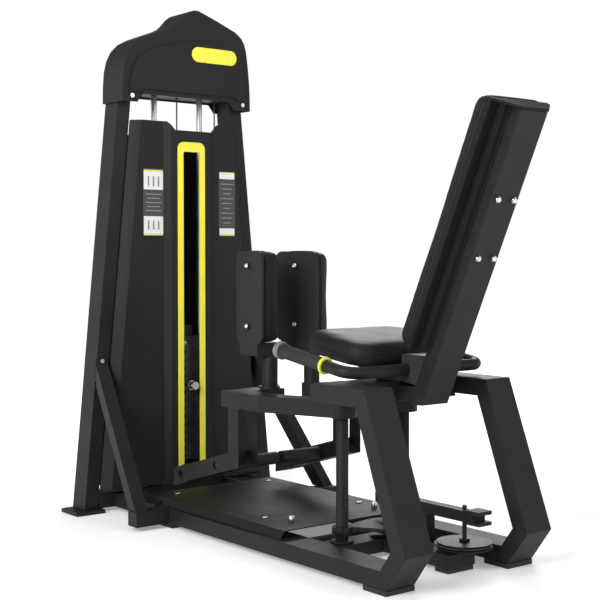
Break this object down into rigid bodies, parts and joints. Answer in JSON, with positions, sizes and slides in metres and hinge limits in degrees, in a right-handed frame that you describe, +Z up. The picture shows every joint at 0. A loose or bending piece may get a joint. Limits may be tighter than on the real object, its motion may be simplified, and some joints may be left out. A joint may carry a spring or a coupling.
{
  "type": "hip abductor and adductor machine",
  "caption": "Seated hip abductor and adductor gym machine: two coupled swing arms with swivelling thigh pads and foot pegs lift a cable driven weight stack in a covered tower.",
  "frame": {"origin": "on the floor under the middle of the whole machine", "axes": "+Z up, +Y from the back rest to the weight tower (the way the user faces), +X to the user's right"},
  "size_m": [0.826, 1.6336, 1.647],
  "materials": {
    "frame_paint": "satin textured powder coat",
    "cover": "fine grained moulding",
    "yellow": "satin",
    "labels": "printed film",
    "upholstery": "black grained vinyl",
    "board": "black coated board",
    "chrome": "polished",
    "weights": "black enamel",
    "rubber": "matt",
    "cable": "black nylon jacket over steel rope",
    "grey_cap": "brushed"
  },
  "bodies": {
    "frame": {"base_tube_left": "frame_paint", "base_tube_right": "frame_paint", "rear_leg_left": "frame_paint", "rear_leg_right": "frame_paint", "top_rail_left": "frame_paint", "top_rail_right": "frame_paint", "rubber_feet": "rubber", "pivot_beam": "frame_paint", "centre_beam": "frame_paint", "platform": "cover", "brace_left": "frame_paint", "brace_right": "frame_paint", "post_left": "frame_paint", "post_right": "frame_paint", "tower_base": "frame_paint", "tower_top_tube": "frame_paint", "tower_cap": "cover", "front_cover": "cover", "window_frame": "yellow", "labels": "labels", "rear_cover": "cover", "guide_rods": "chrome", "stack_buffers": "rubber", "stack_resting": "weights", "shaft_bearings": "frame_paint", "seat_beam": "frame_paint", "seat_carrier": "frame_paint", "seat_board": "board", "seat_cushion": "upholstery", "back_column": "frame_paint", "back_board": "board", "back_cushion": "upholstery", "handle_tube": "frame_paint", "grips": "rubber", "grip_rings": "yellow", "grip_caps": "grey_cap", "tie_beam": "frame_paint", "pulley_mounts": "weights", "cable_run": "cable", "chrome_bolts": "chrome"},
    "arm_left": {"swing_arm_left": "frame_paint", "foot_bracket_left": "frame_paint", "foot_peg_left": "rubber", "pivot_shaft_left": "frame_paint"},
    "arm_right": {"swing_arm_right": "frame_paint", "foot_bracket_right": "frame_paint", "foot_peg_right": "rubber", "pivot_shaft_right": "frame_paint", "cable_sector": "weights"},
    "pad_left": {"pad_frame_left": "frame_paint", "pad_cushion_left": "upholstery"},
    "pad_right": {"pad_frame_right": "frame_paint", "pad_cushion_right": "upholstery"},
    "stack": {"stack_lifted": "weights", "selector_stem": "chrome", "cable_lift": "cable"},
    "pin": {"selector_pin": "chrome"},
    "sheave_rear": {"pulley_rear": "weights"},
    "sheave_low": {"pulley_low": "weights"},
    "sheave_top": {"pulley_top": "weights"}
  },
  "joints": [
    {"name": "left_arm_swing", "type": "hinge", "parent": "frame", "child": "arm_left", "pos_m": [-0.113, -0.225, 0.4], "axis": [0, 0, 1], "range_deg": [0, 45]},
    {"name": "right_arm_swing", "type": "hinge", "parent": "frame", "child": "arm_right", "pos_m": [0.113, -0.225, 0.4], "axis": [0, 0, 1], "range_deg": [-45, 0]},
    {"name": "left_pad_swivel", "type": "hinge", "parent": "arm_left", "child": "pad_left", "pos_m": [-0.08, 0.147, 0.55], "axis": [0, 0, 1], "range_deg": [0, 180]},
    {"name": "right_pad_swivel", "type": "hinge", "parent": "arm_right", "child": "pad_right", "pos_m": [0.08, 0.147, 0.55], "axis": [0, 0, 1], "range_deg": [-180, 0]},
    {"name": "stack_lift", "type": "slide", "parent": "frame", "child": "stack", "axis": [0, 0, 1], "range_m": [0, 0.08], "deforming": ["cable_lift"]},
    {"name": "pin_pull", "type": "slide", "parent": "stack", "child": "pin", "axis": [0, -1, 0], "range_m": [0, 0.078]},
    {"name": "rear_pulley_spin", "type": "hinge", "parent": "frame", "child": "sheave_rear", "pos_m": [0.083, -0.495, 0.066], "axis": [0, 0, 1], "range_deg": [-65, 0]},
    {"name": "low_pulley_spin", "type": "hinge", "parent": "frame", "child": "sheave_low", "pos_m": [0.153, 0.75, 0.091], "axis": [1, 0, 0], "range_deg": [-181, 0]},
    {"name": "top_pulley_spin", "type": "hinge", "parent": "frame", "child": "sheave_top", "pos_m": [0.0765, 0.775, 1.484], "axis": [0, 1, 0], "range_deg": [0, 60]}
  ],
  "couplings": [
    {"joint": "right_arm_swing", "follows": "left_arm_swing", "ratio": -1},
    {"joint": "stack_lift", "follows": "left_arm_swing", "m_per_rad": 0.1},
    {"joint": "rear_pulley_spin", "follows": "left_arm_swing", "ratio": -1.4286},
    {"joint": "low_pulley_spin", "follows": "left_arm_swing", "ratio": -4},
    {"joint": "top_pulley_spin", "follows": "left_arm_swing", "ratio": 1.3072}
  ]
}
